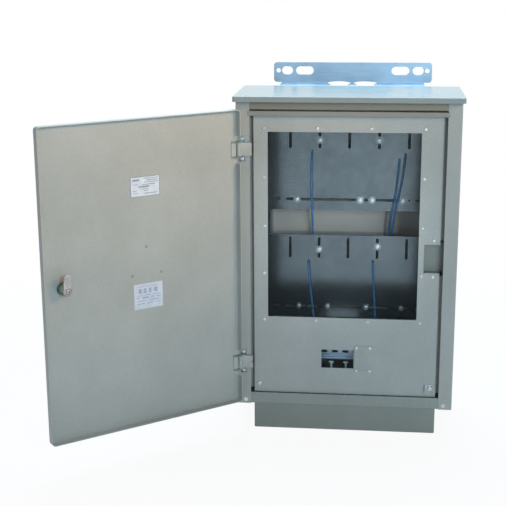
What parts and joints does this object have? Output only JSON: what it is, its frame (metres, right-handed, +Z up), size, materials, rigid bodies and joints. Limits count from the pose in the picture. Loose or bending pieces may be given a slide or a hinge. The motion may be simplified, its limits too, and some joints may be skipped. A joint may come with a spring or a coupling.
{
  "type": "electricity meter cabinet",
  "caption": "Grey sheet-steel outdoor cabinet for electricity meters: open door with lock, windowed inner panel, slotted plates, plinth and zinc mounting brackets.",
  "frame": {"origin": "middle of the plinth's bolt pattern on the ground", "axes": "+X to the right of someone facing the door, +Y into the cabinet, +Z up"},
  "size_m": [0.8729, 0.6487, 0.834],
  "materials": {
    "painted_steel": "satin",
    "galvanised_steel": "galvanised",
    "zinc_fasteners": "bright zinc plated",
    "lock_zinc": "die-cast zinc",
    "clear_sheet": "clear polycarbonate",
    "pale_plastic": "moulded",
    "black_rubber": "matt",
    "blue_insulation": "extruded"
  },
  "bodies": {
    "cabinet": {"body_wrap": "painted_steel", "top_panel": "painted_steel", "bottom_panel": "painted_steel", "roof_canopy": "painted_steel", "rain_strip": "painted_steel", "plinth_collar": "painted_steel", "inner_panel": "painted_steel", "blank_plate": "painted_steel", "lock_pocket": "painted_steel", "panel_rails": "painted_steel", "plate_rails": "painted_steel", "upper_hinge_leaf": "painted_steel", "lower_hinge_leaf": "painted_steel", "gland_plate": "painted_steel", "seal_lug": "painted_steel", "upper_meter_plate": "galvanised_steel", "lower_meter_plate": "galvanised_steel", "din_rail": "galvanised_steel", "rail_stands": "galvanised_steel", "upper_mounting_bracket": "galvanised_steel", "lower_mounting_bracket": "galvanised_steel", "corner_screws": "zinc_fasteners", "plinth_bolts": "zinc_fasteners", "plinth_nuts": "zinc_fasteners", "gland_screws": "zinc_fasteners", "earth_stud": "zinc_fasteners", "earth_nuts": "zinc_fasteners", "window_screws": "zinc_fasteners", "blank_screws": "zinc_fasteners", "panel_screws": "zinc_fasteners", "pocket_screws": "zinc_fasteners", "plate_screws": "zinc_fasteners", "upper_meter_bolts": "zinc_fasteners", "upper_meter_washers": "zinc_fasteners", "upper_meter_nuts": "zinc_fasteners", "lower_meter_bolts": "zinc_fasteners", "lower_meter_washers": "zinc_fasteners", "lower_meter_nuts": "zinc_fasteners", "din_rail_screws": "zinc_fasteners", "bracket_bolts": "zinc_fasteners", "bracket_nuts": "zinc_fasteners", "hinge_screws": "zinc_fasteners", "window_sheet": "clear_sheet", "tie_posts": "pale_plastic", "lead_grommets": "black_rubber", "lead_upper_left": "blue_insulation", "lead_upper_right": "blue_insulation", "lead_upper_far_right": "blue_insulation", "lead_lower_left": "blue_insulation", "lead_lower_right": "blue_insulation"},
    "door": {"door_pan": "painted_steel", "lock_barrel": "lock_zinc", "lock_nut": "lock_zinc", "upper_hinge_bracket": "painted_steel", "lower_hinge_bracket": "painted_steel", "upper_hinge_pin": "zinc_fasteners", "lower_hinge_pin": "zinc_fasteners"},
    "cam": {"lock_rotor": "lock_zinc", "lock_cam": "lock_zinc", "cam_screw": "zinc_fasteners"}
  },
  "joints": [
    {"name": "door_hinge", "type": "hinge", "parent": "cabinet", "child": "door", "pos_m": [-0.2415, -0.119, 0.4185], "axis": [0, 0, 1], "range_deg": [-9, 141]},
    {"name": "cam_turn", "type": "hinge", "parent": "door", "child": "cam", "pos_m": [-0.58217, -0.38715, 0.416], "axis": [0.6293, -0.7771, 0], "range_deg": [0, 90]}
  ]
}
